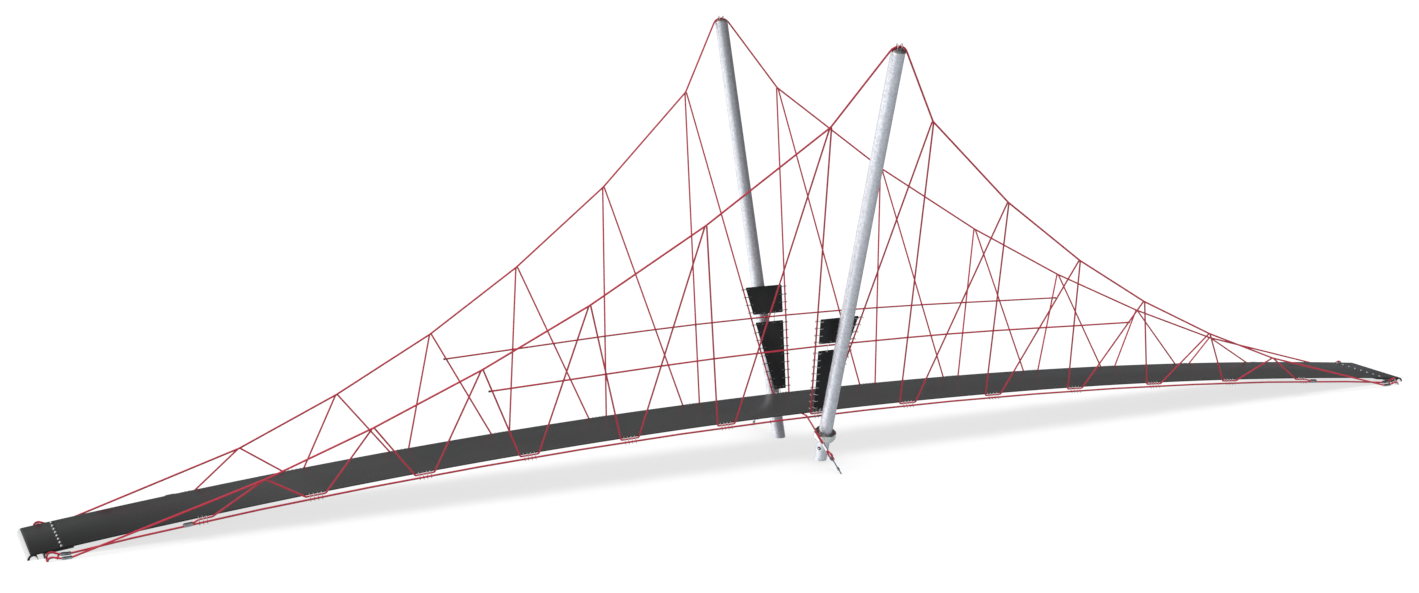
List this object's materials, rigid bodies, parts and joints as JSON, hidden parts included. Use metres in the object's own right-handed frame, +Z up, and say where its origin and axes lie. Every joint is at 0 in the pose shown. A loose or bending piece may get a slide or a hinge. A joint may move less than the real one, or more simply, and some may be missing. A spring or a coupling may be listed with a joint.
{
  "type": "suspension footbridge",
  "caption": "Playground rope suspension footbridge: an arched rubber belt deck hung by zigzag ropes from two main cables over two leaning masts.",
  "frame": {"origin": "centre of the bridge's overall box in plan, at ground level", "axes": "+X along the walkway, +Y across it, +Z up"},
  "size_m": [14.914, 3.906, 4.1759],
  "materials": {
    "belt_rubber": "smooth, slightly glossy conveyor belt",
    "red_rope": "laid polyester over steel wire strands",
    "guard_rubber": "matt",
    "dark_plate": "black, satin",
    "sill_metal": "satin",
    "galvanised_steel": "hot-dip galvanised, mottled",
    "stainless_steel": "polished",
    "pressed_aluminium": "dull, pressed"
  },
  "bodies": {
    "root": {"back_east_edge_ferrule": "pressed_aluminium", "back_east_hanger_ferrule": "pressed_aluminium", "back_east_main_ferrule": "pressed_aluminium", "back_edge_cable": "red_rope", "back_ground_anchor": "galvanised_steel", "back_guy_ferrule": "pressed_aluminium", "back_handrail_rope": "red_rope", "back_hanger_rope": "red_rope", "back_lower_guard": "guard_rubber", "back_main_cable": "red_rope", "back_mast": "galvanised_steel", "back_mast_cap": "stainless_steel", "back_mast_collar": "stainless_steel", "back_mast_foot": "galvanised_steel", "back_upper_guard": "guard_rubber", "back_west_edge_ferrule": "pressed_aluminium", "back_west_hanger_ferrule": "pressed_aluminium", "back_west_main_ferrule": "pressed_aluminium", "deck_belt": "belt_rubber", "east_clamp_plate": "dark_plate", "east_end_sill": "sill_metal", "front_east_edge_ferrule": "pressed_aluminium", "front_east_hanger_ferrule": "pressed_aluminium", "front_east_main_ferrule": "pressed_aluminium", "front_edge_cable": "red_rope", "front_ground_anchor": "galvanised_steel", "front_guy_ferrule": "pressed_aluminium", "front_handrail_rope": "red_rope", "front_hanger_rope": "red_rope", "front_lower_guard": "guard_rubber", "front_main_cable": "red_rope", "front_mast": "galvanised_steel", "front_mast_cap": "stainless_steel", "front_mast_collar": "stainless_steel", "front_mast_foot": "galvanised_steel", "front_upper_guard": "guard_rubber", "front_west_edge_ferrule": "pressed_aluminium", "front_west_hanger_ferrule": "pressed_aluminium", "front_west_main_ferrule": "pressed_aluminium", "guy_rope": "red_rope", "west_clamp_plate": "dark_plate", "west_end_sill": "sill_metal"}
  },
  "joints": []
}
